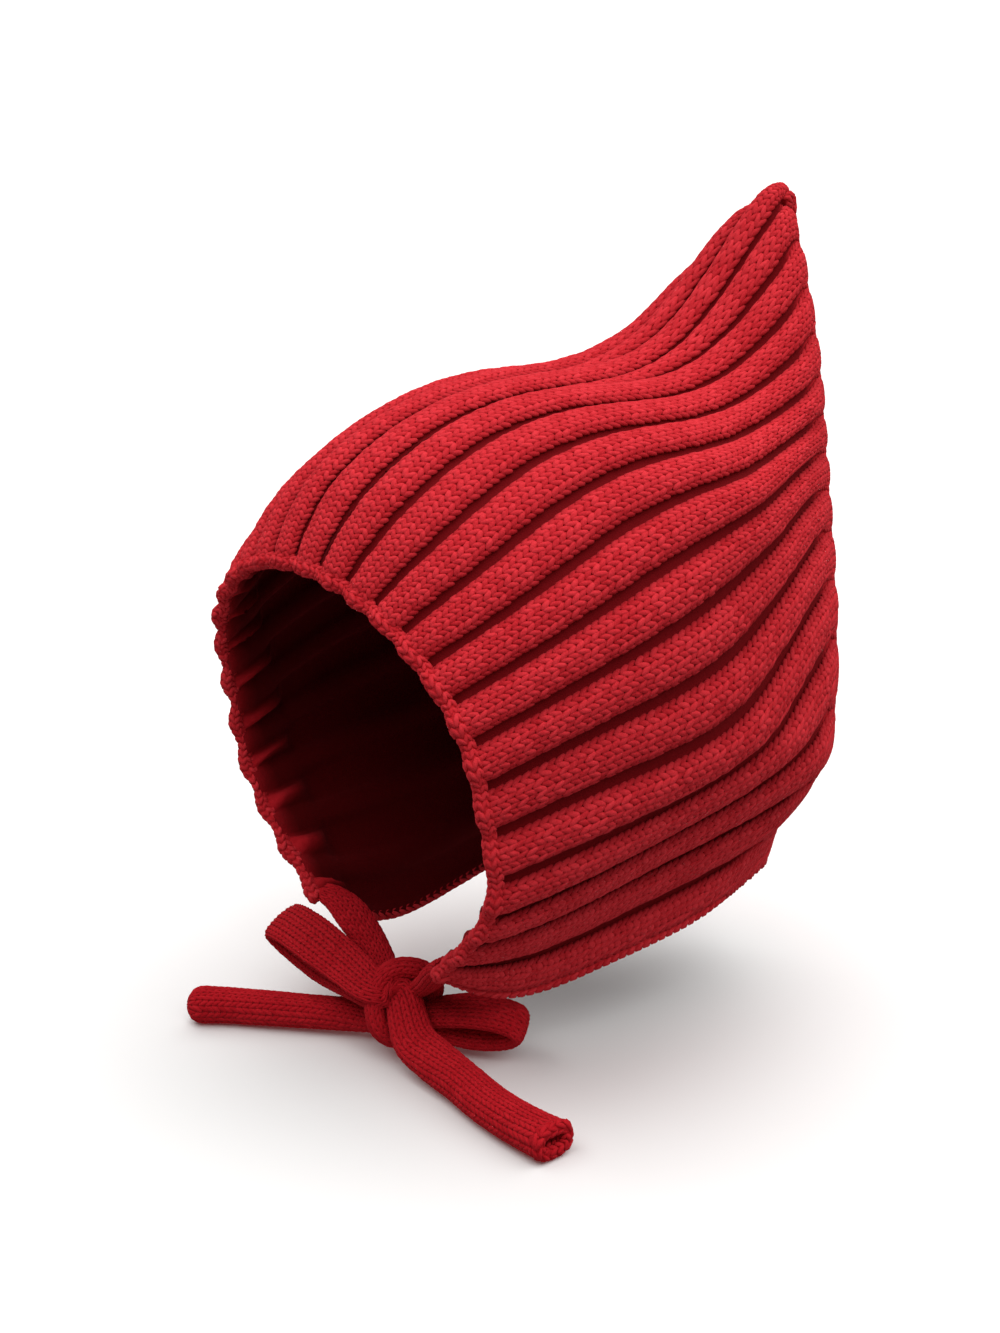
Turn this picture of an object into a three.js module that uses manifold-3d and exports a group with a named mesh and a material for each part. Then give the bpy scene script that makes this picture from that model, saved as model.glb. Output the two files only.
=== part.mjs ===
// Baby's pixie bonnet: a ribbed knitted hood with a peak at the back and two knitted ties in a bow.
// Millimetres, +Z up, face towards -Y, wearer's left on +X. The origin is the middle of the head.

import * as THREE from 'three';
import { mergeVertices } from 'three/addons/utils/BufferGeometryUtils.js';
import Module from 'manifold-3d';

const wasm = await Module();
wasm.setup();

// Cloth
const WALL = 4.4;
const RIB_DEPTH = 2.2;
const CLEARANCE = 0.3;
const WHOLE_RIBS = 12;
const HEM_RIB = 0.7;
const RIBS_AT_FACE = HEM_RIB + WHOLE_RIBS + 0.5;
const RIBS_AT_SEAM = RIBS_AT_FACE + 1;
const RIB_BIRTH = { from: 0.45, over: 0.35 };
// The grooves grow shallow towards the back seam, the lower ones sooner
const FLATTENING = { share: 0.8, from: 0.875, sooner: 0.021, over: 0.08 };
const EDGING = { width: 3.8, thick: 3.8, sides: 8 };

// Sections of the hood from the face edge (at 0) to the back seam (at 1). Each runs from the top line,
// x = 0, down one side to the neck edge: bulge bows it backwards, crownW and sideW are its half widths
// where the crown turns into the side and at the widest place, sideAt and crownAt say how far down those
// lie, spread packs the ribs closer at both ends (+) or half way (-), lift moves them up, and tuck (0 to 1)
// says how straight the lowest stretch still runs in when it reaches the neck edge.
const SECTIONS = [
  { at: 0.00, topY: -62, topZ: 36, neckX: 31, neckY: -43, neckZ: -70, crownW: 63, sideW: 65,
    sideAt: 0.62, bulge: 2, crownAt: 0.39, spread: -0.07, lift: 0.04, tuck: 1 },
  { at: 0.18, topY: -48, topZ: 57, neckX: 34, neckY: -20, neckZ: -80, crownW: 69, sideW: 74,
    sideAt: 0.54, bulge: 18, crownAt: 0.37, spread: -0.16, lift: 0.05, tuck: 0.3 },
  { at: 0.38, topY: -16, topZ: 74, neckX: 38, neckY: 11, neckZ: -76, crownW: 68, sideW: 76,
    sideAt: 0.53, bulge: 23, crownAt: 0.30, spread: -0.11, lift: 0.05, tuck: 0 },
  { at: 0.56, topY: 19, topZ: 78, neckX: 39, neckY: 43, neckZ: -70, crownW: 65, sideW: 65,
    sideAt: 0.63, bulge: 22, crownAt: 0.20, spread: -0.27, lift: 0.08, tuck: 0 },
  { at: 0.72, topY: 57, topZ: 87, neckX: 31, neckY: 67, neckZ: -67, crownW: 46, sideW: 51,
    sideAt: 0.70, bulge: 15, crownAt: 0.19, spread: -0.30, lift: 0.14, tuck: 0 },
  { at: 0.87, topY: 88, topZ: 120, neckX: 18, neckY: 84, neckZ: -69, crownW: 23, sideW: 28,
    sideAt: 0.69, bulge: 5, crownAt: 0.25, spread: -0.14, lift: 0.07, tuck: 0 },
  { at: 1.00, topY: 100, topZ: 121, neckX: 0, neckY: 92, neckZ: -70, crownW: 0, sideW: 0,
    sideAt: 0.66, bulge: 3, crownAt: 0.20, spread: -0.04, lift: 0.01, tuck: 0 },
];

// Ties: the places of their centreline, with the width, the thickness and the way the flat side faces
const STRAP = [
  { x: 28.9, y: -36.4, z: -65.6, wide: 9, thick: 5, face: [0.75, 0, -0.66] },
  { x: 21.2, y: -34.4, z: -72.8, wide: 10, thick: 5.5, face: [0.75, 0, -0.66] },
  { x: 12.5, y: -32.6, z: -80, wide: 8.5, thick: 5.5, face: [0.7, 0, -0.7] },
  { x: 4, y: -33.5, z: -86, wide: 8, thick: 5.5, face: [0.7, 0, -0.7] },
];
const TAIL_LEFT = [
  { x: 3, y: -38.5, z: -88, wide: 10, thick: 7, face: [0.7, -0.3, 0.6] },
  { x: 15, y: -38.7, z: -93.6, wide: 11.5, thick: 8, face: [0.6, -0.3, 0.8] },
  { x: 23.5, y: -38, z: -96.4, wide: 12, thick: 8.5, face: [0.3, -0.2, 0.9] },
  { x: 36, y: -37.3, z: -98, wide: 12, thick: 8.5, face: [0.1, 0, 1] },
  { x: 50, y: -38, z: -98.4, wide: 12, thick: 8.5, face: [0, 0, 1] },
  { x: 63, y: -37.5, z: -98.3, wide: 12.5, thick: 8.8, face: [0, 0, 1] },
  { x: 75, y: -36, z: -98.0, wide: 13, thick: 9.4, face: [0, 0, 1] },
];
const TAIL_RIGHT = [
  { x: 1, y: -34, z: -94, wide: 9, thick: 7, face: [0, -0.5, 0.85] },
  { x: -10, y: -37.5, z: -97, wide: 9.5, thick: 8, face: [0, -0.3, 0.95] },
  { x: -20.5, y: -47, z: -97.6, wide: 9.5, thick: 8.5, face: [0, 0, 1] },
  { x: -31, y: -57, z: -97.8, wide: 9.5, thick: 9, face: [0, 0, 1] },
  { x: -40.5, y: -66, z: -98.1, wide: 10, thick: 9.3, face: [0, 0, 1] },
  { x: -47, y: -74.5, z: -98.0, wide: 10.5, thick: 9.8, face: [0, 0, 1] },
];
// Loops of the bow: where each leaves the knot, how far it reaches, and how far its two runs lie apart
const LOOP_LEFT = { root: [3, -32.5, -93.5], tip: [30, -12, -91.5], face: [0.21, -0.4, 0.9],
  wide: 11, thick: 4.2, spread: 4.6 };
const LOOP_RIGHT = { root: [3, -42.5, -83.5], tip: [-47, -44, -80.2], face: [0.05, -0.5, 0.85],
  wide: 12, thick: 4.2, spread: 4.4 };
const KNOT = { centre: [2, -37.5, -89], half: [7.2, 9.5, 11.8], lean: 0.15 };

// Colours of the yarn
const YARN = new THREE.Color(0xb01e2c);
const YARN_ROUGHNESS = 0.95;

const { clamp } = THREE.MathUtils;
const smooth = (t) => THREE.MathUtils.smoothstep(t, 0, 1);

// Natural cubic spline through the values at the knots
function naturalSpline(knots, values) {
  const last = knots.length - 1;
  const gap = knots.slice(1).map((k, i) => k - knots[i]);
  const slope = gap.map((g, i) => (values[i + 1] - values[i]) / g);
  const bend = new Array(last + 1).fill(0);
  const diagonal = [];
  const right = [];
  for (let i = 1; i < last; i++) {
    const carry = i > 1 ? gap[i - 1] / diagonal[i - 1] : 0;
    diagonal[i] = 2 * (gap[i - 1] + gap[i]) - (i > 1 ? carry * gap[i - 1] : 0);
    right[i] = 6 * (slope[i] - slope[i - 1]) - (i > 1 ? carry * right[i - 1] : 0);
  }
  for (let i = last - 1; i > 0; i--) bend[i] = (right[i] - gap[i] * bend[i + 1]) / diagonal[i];
  return (at) => {
    let i = 0;
    while (i < last - 1 && at > knots[i + 1]) i++;
    const before = at - knots[i];
    const after = knots[i + 1] - at;
    return (bend[i] * after ** 3 + bend[i + 1] * before ** 3) / (6 * gap[i])
      + (values[i] / gap[i] - bend[i] * gap[i] / 6) * after
      + (values[i + 1] / gap[i] - bend[i + 1] * gap[i] / 6) * before;
  };
}

const knots = SECTIONS.map((row) => row.at);
const column = {};
for (const name of Object.keys(SECTIONS[0])) {
  column[name] = naturalSpline(knots, SECTIONS.map((row) => row[name]));
}
const ribCount = (u) => RIBS_AT_FACE
  + (RIBS_AT_SEAM - RIBS_AT_FACE) * smooth((u - RIB_BIRTH.from) / RIB_BIRTH.over);

// One side of the section at u, from the top line down to the neck edge, with the length along it
const SECTION_STEPS = 90;
const sectionCache = new Map();
function section(u) {
  if (sectionCache.has(u)) return sectionCache.get(u);
  const c = {};
  for (const name of Object.keys(column)) c[name] = column[name](u);
  const dy = c.neckY - c.topY;
  const dz = c.neckZ - c.topZ;
  const chord = Math.hypot(dy, dz);
  const points = [];
  const lengths = [0];
  for (let i = 0; i <= SECTION_STEPS; i++) {
    const a = (i / SECTION_STEPS) ** 1.6;
    const bow = c.bulge * 4 * a * (1 - a);
    const crown = Math.sqrt(Math.max(1 - (1 - clamp(a / c.crownAt, 0, 1)) ** 2, 0));
    const low = clamp((a - c.sideAt) / (1 - c.sideAt), 0, 1);
    const inward = THREE.MathUtils.lerp(smooth(low), 1 - Math.cos(low * Math.PI / 2), c.tuck);
    const x = c.crownW * crown + (c.sideW - c.crownW) * smooth(a / c.sideAt)
      + (c.neckX - c.sideW) * inward;
    const y = c.topY + dy * a - dz / chord * bow;
    const z = c.topZ + dz * a + dy / chord * bow;
    points.push(new THREE.Vector3(x, y, z));
    if (i) lengths.push(lengths[i - 1] + points[i].distanceTo(points[i - 1]));
  }
  const made = { points, lengths, spread: c.spread, lift: c.lift };
  sectionCache.set(u, made);
  return made;
}

// The skin over the rib crests, at u and at a number of ribs up from the neck edge
function skin(u, rib) {
  const { points, lengths, spread, lift } = section(u);
  const total = lengths[SECTION_STEPS];
  const share = rib / ribCount(u);
  const packed = spread * Math.sin(2 * Math.PI * share) / (2 * Math.PI);
  const down = total * (1 - share + packed - lift * Math.sin(Math.PI * share));
  let i = 1;
  while (i < SECTION_STEPS && lengths[i] < down) i++;
  const t = (down - lengths[i - 1]) / (lengths[i] - lengths[i - 1]);
  return points[i - 1].clone().lerp(points[i], t);
}

const NORMAL_STEP = { u: 0.006, rib: 0.12 };
function outward(u, rib) {
  const top = ribCount(u);
  const u0 = Math.max(u - NORMAL_STEP.u, 0);
  const u1 = Math.min(u + NORMAL_STEP.u, 1);
  const r0 = Math.max(Math.min(rib, top) - NORMAL_STEP.rib, 0);
  const r1 = Math.min(rib + NORMAL_STEP.rib, top);
  const back = skin(u1, rib / top * ribCount(u1)).sub(skin(u0, rib / top * ribCount(u0)));
  const up = skin(u, r1).sub(skin(u, r0));
  const normal = back.cross(up).normalize();
  return normal;
}

// A place below the skin: on the top line and on the seam both sides meet in the middle plane, and
// sharpest says how far a sharp fold may push the place inwards
function below(u, rib, depth, sharpest = 0.3) {
  const place = skin(u, rib);
  const normal = outward(u, rib);
  if (u >= 1 || rib >= ribCount(u)) {
    normal.x = 0;
    return place.addScaledVector(normal, -depth / Math.max(normal.lengthSq(), sharpest));
  }
  place.addScaledVector(normal, -depth);
  place.x = Math.max(place.x, 0.6);
  return place;
}

// Solids
function solidOf(positions, triangles) {
  const raw = new THREE.BufferGeometry();
  raw.setAttribute('position', new THREE.Float32BufferAttribute(positions, 3));
  raw.setIndex(triangles);
  const merged = mergeVertices(raw, 1e-3);
  const index = merged.getIndex().array;
  const kept = [];
  for (let i = 0; i < index.length; i += 3) {
    const [a, b, c] = [index[i], index[i + 1], index[i + 2]];
    if (a !== b && b !== c && c !== a) kept.push(a, b, c);
  }
  return new wasm.Manifold(new wasm.Mesh({
    numProp: 3,
    vertProperties: new Float32Array(merged.getAttribute('position').array),
    triVerts: new Uint32Array(kept),
  }));
}

// A closed body through rings of as many points each, with fanned ends where they are asked for. The
// diagonals of the two halves mirror each other.
function loft(rings, { startCap = true, endCap = true } = {}) {
  const positions = [];
  const triangles = [];
  const around = rings[0].length;
  for (const ring of rings) for (const p of ring) positions.push(p.x, p.y, p.z);
  for (let i = 0; i + 1 < rings.length; i++) {
    for (let j = 0; j < around; j++) {
      const a = i * around + j;
      const b = i * around + (j + 1) % around;
      if (2 * j < around - 1) triangles.push(a, b, b + around, a, b + around, a + around);
      else triangles.push(a, b, a + around, b, b + around, a + around);
    }
  }
  const fan = (ring, first, forward) => {
    const middle = new THREE.Vector3();
    for (const p of ring) middle.addScaledVector(p, 1 / around);
    const hub = positions.length / 3;
    positions.push(middle.x, middle.y, middle.z);
    for (let j = 0; j < around; j++) {
      const a = first + j;
      const b = first + (j + 1) % around;
      if (forward) triangles.push(hub, a, b);
      else triangles.push(hub, b, a);
    }
  };
  if (startCap) fan(rings[0], 0, false);
  if (endCap) fan(rings[rings.length - 1], (rings.length - 1) * around, true);
  const solid = solidOf(positions, triangles);
  if (solid.volume() < 0) throw new Error('a loft is inside out');
  return solid;
}

const mirrored = (p) => new THREE.Vector3(-p.x, p.y, p.z);
function bothSides(nearSide) {
  const farSide = nearSide.slice(0, -1).reverse().map(mirrored);
  return [...nearSide, ...farSide].reverse();
}

// Hood
const ribStops = [{ rib: 0, groove: false }, { rib: HEM_RIB / 2, groove: false }];
for (let half = 0; half <= 2 * WHOLE_RIBS; half++) {
  ribStops.push({ rib: HEM_RIB + half / 2, groove: half % 2 === 0 });
}
const TOP_GROOVE = HEM_RIB + WHOLE_RIBS;
const CROWN_STOPS = [1 / 3, 2 / 3, 1];

function outerSide(u) {
  const grow = smooth((u - RIB_BIRTH.from) / RIB_BIRTH.over);
  const grooveDepth = (rib) => {
    const from = FLATTENING.from - FLATTENING.sooner * (ribCount(u) - rib);
    return RIB_DEPTH * (1 - FLATTENING.share * smooth((u - from) / FLATTENING.over));
  };
  const side = ribStops.map(({ rib, groove }) => below(u, rib, groove ? grooveDepth(rib) : 0, 0.7));
  for (const share of CROWN_STOPS) {
    const rib = TOP_GROOVE + (ribCount(u) - TOP_GROOVE) * share;
    side.push(below(u, rib, share === CROWN_STOPS[1] ? grooveDepth(rib) * grow : 0, 0.7));
  }
  return side;
}

const CAVITY_STOPS = [-1.2, -0.35, 0.4, 1.1, 1.9, 2.8, 3.8, 5.1, 6.6, 8.1, 9.7, 11.2, 12.3];
const PEAK_FILL = 9;
function cavitySide(u) {
  const side = CAVITY_STOPS.map((rib) => below(u, rib, WALL));
  const crest = below(u, ribCount(u), WALL);
  crest.z -= PEAK_FILL * smooth((u - 0.84) / 0.16);
  side.push(crest);
  return side;
}

const FACE_RIM = 0.0245;
const OUTER_ROWS = [FACE_RIM, 0.06, 0.1, 0.14, 0.18, 0.22, 0.26, 0.3, 0.34, 0.38, 0.42, 0.46, 0.5, 0.54,
  0.58, 0.62, 0.66, 0.7, 0.74, 0.78, 0.82, 0.86, 0.895, 0.93, 0.965, 1];
const CAVITY_ROWS = [-0.04, 0, 0.04, 0.1, 0.17, 0.24, 0.31, 0.38, 0.45, 0.52, 0.59, 0.66, 0.73, 0.8, 0.86,
  0.91, 0.95, 1];

function makeHood() {
  const body = loft(OUTER_ROWS.map((u) => bothSides(outerSide(u))), { endCap: false });
  const cavity = loft(CAVITY_ROWS.map((u) => bothSides(cavitySide(u))), { endCap: false });
  return body.subtract(cavity).subtract(makeEdging(CLEARANCE));
}

// Sweeps a flattened round section along rows that give its place, size and facing, with both ends
// drawn out straight by a length
const TIE_SIDES = 10;
function sweep(rows, steps, sides = TIE_SIDES, drawnOut = 0) {
  const curve = new THREE.CatmullRomCurve3(rows.map((r) => new THREE.Vector3(r.x, r.y, r.z)));
  const facing = new THREE.CatmullRomCurve3(rows.map((r) => new THREE.Vector3(...r.face)));
  const sizes = new THREE.CatmullRomCurve3(rows.map((r) => new THREE.Vector3(r.wide, r.thick, 0)));
  const rings = [];
  for (let i = 0; i <= steps; i++) {
    const t = i / steps;
    const middle = curve.getPoint(t);
    const along = curve.getTangent(t);
    const face = facing.getPoint(t);
    face.addScaledVector(along, -face.dot(along)).normalize();
    const across = along.clone().cross(face);
    const size = sizes.getPoint(t);
    const ring = [];
    for (let j = 0; j < sides; j++) {
      const angle = 2 * Math.PI * (j + 0.5) / sides;
      ring.push(middle.clone()
        .addScaledVector(across, Math.cos(angle) * size.x / 2)
        .addScaledVector(face, Math.sin(angle) * size.y / 2));
    }
    rings.push(ring);
  }
  if (drawnOut) {
    const moved = (ring, shift) => ring.map((p) => p.clone().add(shift));
    rings.unshift(moved(rings[0], curve.getTangent(0).multiplyScalar(-drawnOut)));
    rings.push(moved(rings[rings.length - 1], curve.getTangent(1).multiplyScalar(drawnOut)));
  }
  return loft(rings.map((ring) => ring.reverse()));
}

// Edging along the face, from one cheek corner over the top to the other
function makeEdging(grow) {
  const edgeAt = 0.0107;
  const rows = [];
  const top = ribCount(edgeAt);
  const stations = [0.014 - grow / 10, 0.65, 1.45, 2.45, 3.5, 4.8, 6.2, 7.6, 9.1, 10.5, 11.8, 12.7];
  const nearRows = stations.map((rib) => {
    return { ...placeOf(below(edgeAt, rib, WALL / 2)), out: outward(edgeAt, Math.max(rib, 0)) };
  });
  const crest = outward(edgeAt, top).setX(0).normalize();
  rows.push(...nearRows, { ...placeOf(below(edgeAt, top, WALL / 2)), out: crest });
  for (const row of [...nearRows].reverse()) rows.push({ ...row, x: -row.x, out: mirrored(row.out) });
  return sweep(rows.map((row) => ({
    ...row, wide: EDGING.width + 2 * grow, thick: EDGING.thick + 2 * grow, face: row.out.toArray(),
  })), 64, EDGING.sides, grow * 8);
}
const placeOf = (p) => ({ x: p.x, y: p.y, z: p.z });

// A bow loop: out on the facing side, round at the tip and back behind, narrowing into the knot
const LOOP_PATH = [[0, 0.25], [0.25, 0.6], [0.55, 1], [0.8, 0.9], [0.95, 0.5], [1, 0], [0.95, -0.5],
  [0.8, -0.9], [0.55, -1], [0.25, -0.6], [0, -0.25]];
function loopRows({ root, tip, face, wide, thick, spread }) {
  const start = new THREE.Vector3(...root);
  const reach = new THREE.Vector3(...tip).sub(start);
  const length = reach.length();
  const along = reach.clone().normalize();
  const out = new THREE.Vector3(...face);
  out.addScaledVector(along, -out.dot(along)).normalize();
  return LOOP_PATH.map(([share, side], i) => {
    const place = start.clone().addScaledVector(along, share * (length - thick / 2))
      .addScaledVector(out, side * spread);
    const turn = Math.PI * i / (LOOP_PATH.length - 1);
    const facing = out.clone().multiplyScalar(Math.cos(turn)).addScaledVector(along, Math.sin(turn));
    const gathered = wide * (0.72 + 0.28 * smooth(share / 0.45));
    return { ...placeOf(place), wide: gathered, thick, face: facing.toArray() };
  });
}

// The knot: a rounded lump that leans with the wrap
function makeKnot(grow) {
  const shape = new THREE.SphereGeometry(1, 16, 12);
  shape.deleteAttribute('normal');
  shape.deleteAttribute('uv');
  const [hx, hy, hz] = KNOT.half.map((h) => h + grow);
  shape.scale(hx, hy, hz);
  shape.applyMatrix4(new THREE.Matrix4().makeRotationY(KNOT.lean));
  shape.translate(...KNOT.centre);
  const merged = mergeVertices(shape, 1e-3);
  return solidOf(Array.from(merged.getAttribute('position').array), Array.from(merged.getIndex().array));
}

// Scene graph
const bonnet = new THREE.Group();
function addPiece(name, solid) {
  const { vertProperties, triVerts } = solid.getMesh();
  const geometry = new THREE.BufferGeometry();
  geometry.setAttribute('position', new THREE.BufferAttribute(new Float32Array(vertProperties), 3));
  geometry.setIndex(new THREE.BufferAttribute(new Uint32Array(triVerts), 1));
  geometry.computeVertexNormals();
  const mesh = new THREE.Mesh(geometry, new THREE.MeshStandardMaterial({
    color: YARN, roughness: YARN_ROUGHNESS, metalness: 0,
  }));
  mesh.name = name;
  bonnet.add(mesh);
}

const knotRoom = makeKnot(CLEARANCE);
function mirrorRows(rows) {
  return rows.map((row) => ({ ...row, x: -row.x, face: [-row.face[0], row.face[1], row.face[2]] }));
}

addPiece('hood', makeHood());
addPiece('face_edging', makeEdging(0));
addPiece('bow_knot', makeKnot(0));
addPiece('tie_strap_left', sweep(STRAP, 8).subtract(knotRoom));
addPiece('tie_strap_right', sweep(mirrorRows(STRAP), 8).subtract(knotRoom));
addPiece('bow_loop_left', sweep(loopRows(LOOP_LEFT), 24).subtract(knotRoom));
addPiece('bow_loop_right', sweep(loopRows(LOOP_RIGHT), 24).subtract(knotRoom));
addPiece('tie_tail_left', sweep(TAIL_LEFT, 18).subtract(knotRoom));
addPiece('tie_tail_right', sweep(TAIL_RIGHT, 16).subtract(knotRoom));

export default bonnet;
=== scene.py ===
"""Looks of a baby's pixie bonnet in ribbed knitting, tied in a bow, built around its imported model.

Metres, +Z up, the face opening towards -Y, the wearer's left on +X. The origin is the middle of the head.
"""

import math
from collections import namedtuple

import bpy
import numpy as np
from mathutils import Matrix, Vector


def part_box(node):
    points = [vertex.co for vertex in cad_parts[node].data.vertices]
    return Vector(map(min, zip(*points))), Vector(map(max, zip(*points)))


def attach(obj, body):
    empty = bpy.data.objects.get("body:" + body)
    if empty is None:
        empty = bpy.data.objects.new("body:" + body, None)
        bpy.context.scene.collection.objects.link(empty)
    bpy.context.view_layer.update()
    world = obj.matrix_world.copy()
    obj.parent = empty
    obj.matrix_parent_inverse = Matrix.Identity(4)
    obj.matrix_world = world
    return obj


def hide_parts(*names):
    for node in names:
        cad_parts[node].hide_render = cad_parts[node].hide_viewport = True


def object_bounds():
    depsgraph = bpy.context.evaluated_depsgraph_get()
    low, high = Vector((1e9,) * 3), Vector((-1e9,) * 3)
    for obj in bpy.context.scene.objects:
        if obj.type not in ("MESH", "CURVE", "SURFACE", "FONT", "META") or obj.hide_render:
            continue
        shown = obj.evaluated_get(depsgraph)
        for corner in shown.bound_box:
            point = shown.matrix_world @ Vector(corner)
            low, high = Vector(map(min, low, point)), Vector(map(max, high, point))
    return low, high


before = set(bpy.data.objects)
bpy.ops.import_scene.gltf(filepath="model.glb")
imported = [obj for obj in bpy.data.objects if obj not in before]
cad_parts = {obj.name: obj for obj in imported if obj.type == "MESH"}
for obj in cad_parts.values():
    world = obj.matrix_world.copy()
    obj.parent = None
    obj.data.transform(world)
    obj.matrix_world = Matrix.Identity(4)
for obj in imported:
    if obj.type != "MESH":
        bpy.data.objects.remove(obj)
cad_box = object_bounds()

# Camera: at the photograph's angle, looking at the middle of the head
CAMERA_AZIMUTH = math.radians(55)
CAMERA_ELEVATION = math.radians(17)
CAMERA_DISTANCE = 0.6
CAMERA_LENS = 59.96
CAMERA_SENSOR = 36
CAMERA_NEAR = 0.01


def from_angles(azimuth, elevation):
    """The direction from the head towards an azimuth, counted from the face, and an elevation"""
    level = math.cos(elevation)
    return Vector((math.sin(azimuth) * level, -math.cos(azimuth) * level, math.sin(elevation)))


towards_camera = from_angles(CAMERA_AZIMUTH, CAMERA_ELEVATION)
camera_data = bpy.data.cameras.new("camera")
camera_data.lens = CAMERA_LENS
camera_data.sensor_width = CAMERA_SENSOR
camera_data.clip_start = CAMERA_NEAR
camera = bpy.data.objects.new("camera", camera_data)
bpy.context.scene.collection.objects.link(camera)
camera.location = towards_camera * CAMERA_DISTANCE
camera.rotation_mode = "QUATERNION"
camera.rotation_quaternion = (-towards_camera).to_track_quat("-Z", "Y")
bpy.context.scene.camera = camera
bpy.context.scene.view_settings.view_transform = "Standard"

# Stitches: the pitch of the V columns and rows, and the yarn's leg in each
Stitch = namedtuple("Stitch", "across along half_width half_length half_height lean sides rings")
RIB_STITCH = Stitch(0.0027, 0.0022, 0.00086, 0.00180, 0.00051, math.radians(22), 5, 4)
TIE_STITCH = Stitch(0.0024, 0.0019, 0.00066, 0.00170, 0.00036, math.radians(15), 4, 4)
CHAIN_STITCH = Stitch(0.0025, 0.0022, 0.00074, 0.00155, 0.00062, math.radians(30), 5, 4)
SEAM_STITCH = Stitch(0.0030, 0.0026, 0.00080, 0.00175, 0.00070, math.radians(28), 5, 4)
SEED = 7
TINY = 1e-12


def smooth(t):
    t = np.clip(t, 0, 1)
    return t * t * (3 - 2 * t)


def signed_power(values, power):
    return np.sign(values) * np.abs(values)**power


def unit(vectors):
    return vectors / np.maximum(np.linalg.norm(vectors, axis=-1, keepdims=True), TINY)


# Ties: each row is a place on the route, the tie's width and thickness there and the way its flat side faces

TieRow = namedtuple("TieRow", "x y z wide thick face")
STRAP = [
    TieRow(0.0312, -0.0405, -0.0662, 0.0045, 0.0024, (0.75, 0, -0.66)),
    TieRow(0.0270, -0.0370, -0.0682, 0.0078, 0.0042, (0.75, 0, -0.66)),
    TieRow(0.0212, -0.0344, -0.0728, 0.0100, 0.0055, (0.75, 0, -0.66)),
    TieRow(0.0125, -0.0326, -0.0800, 0.0078, 0.0050, (0.7, 0, -0.7)),
    TieRow(0.0040, -0.0335, -0.0860, 0.0065, 0.0042, (0.7, 0, -0.7)),
]
TAIL_LEFT = [
    TieRow(0.0062, -0.0372, -0.0845, 0.0095, 0.0070, (0.7, -0.3, 0.6)),
    TieRow(0.0150, -0.0387, -0.0936, 0.0115, 0.0080, (0.6, -0.3, 0.8)),
    TieRow(0.0235, -0.0380, -0.0964, 0.0120, 0.0085, (0.3, -0.2, 0.9)),
    TieRow(0.0360, -0.0373, -0.0980, 0.0120, 0.0085, (0.1, 0, 1)),
    TieRow(0.0500, -0.0380, -0.0984, 0.0120, 0.0085, (0, 0, 1)),
    TieRow(0.0630, -0.0375, -0.0983, 0.0125, 0.0088, (0, 0, 1)),
    TieRow(0.0750, -0.0360, -0.0980, 0.0130, 0.0094, (0, 0, 1)),
]
TAIL_RIGHT = [
    TieRow(0.0010, -0.0340, -0.0940, 0.0090, 0.0070, (0, -0.5, 0.85)),
    TieRow(-0.0100, -0.0375, -0.0970, 0.0095, 0.0080, (0, -0.3, 0.95)),
    TieRow(-0.0205, -0.0470, -0.0976, 0.0095, 0.0085, (0, 0, 1)),
    TieRow(-0.0310, -0.0570, -0.0978, 0.0095, 0.0090, (0, 0, 1)),
    TieRow(-0.0405, -0.0660, -0.0981, 0.0100, 0.0093, (0, 0, 1)),
    TieRow(-0.0470, -0.0745, -0.0980, 0.0105, 0.0098, (0, 0, 1)),
]
# Bow loops: from the root in the knot to the tip, with half the gap between the two runs as spread
Loop = namedtuple("Loop", "root tip face wide thick spread")
LOOP_LEFT = Loop(root=(0.003, -0.0325, -0.0935), tip=(0.030, -0.012, -0.0915), face=(0.21, -0.4, 0.9),
                 wide=0.011, thick=0.0042, spread=0.0046)
LOOP_RIGHT = Loop(root=(0.003, -0.0425, -0.0835), tip=(-0.047, -0.044, -0.0802), face=(0.05, -0.5, 0.85),
                  wide=0.013, thick=0.0042, spread=0.0050)
LOOP_PATH = [(0, 0.25), (0.25, 0.6), (0.55, 1), (0.8, 0.9), (0.95, 0.5), (1, 0), (0.95, -0.5), (0.8, -0.9),
             (0.55, -1), (0.25, -0.6), (0, -0.25)]
LOOP_GATHERED = 0.72
LOOP_FULL_AT = 0.45
TIE_COLUMNS = 11
TIE_TIP = 0.0045
TIE_COVER_FROM = 0.002
TIE_COVER_SHORT = 0.0006
TIE_STITCH_SINK = 0.0001


def mirrored_row(row):
    return row._replace(x=-row.x, face=(-row.face[0], row.face[1], row.face[2]))


def loop_rows(loop):
    """A bow loop: out on the facing side, round at the tip and back behind, narrower at the knot"""
    root = Vector(loop.root)
    reach = Vector(loop.tip) - root
    along = reach.normalized()
    out = Vector(loop.face)
    out = (out - along * out.dot(along)).normalized()
    rows = []
    for number, (share, side) in enumerate(LOOP_PATH):
        place = root + along * share * (reach.length - loop.thick / 2) + out * side * loop.spread
        turn = math.pi * number / (len(LOOP_PATH) - 1)
        facing = out * math.cos(turn) + along * math.sin(turn)
        gathered = loop.wide * (LOOP_GATHERED + (1 - LOOP_GATHERED) * float(smooth(share / LOOP_FULL_AT)))
        rows.append(TieRow(*place, gathered, loop.thick, tuple(facing)))
    return rows


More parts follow.
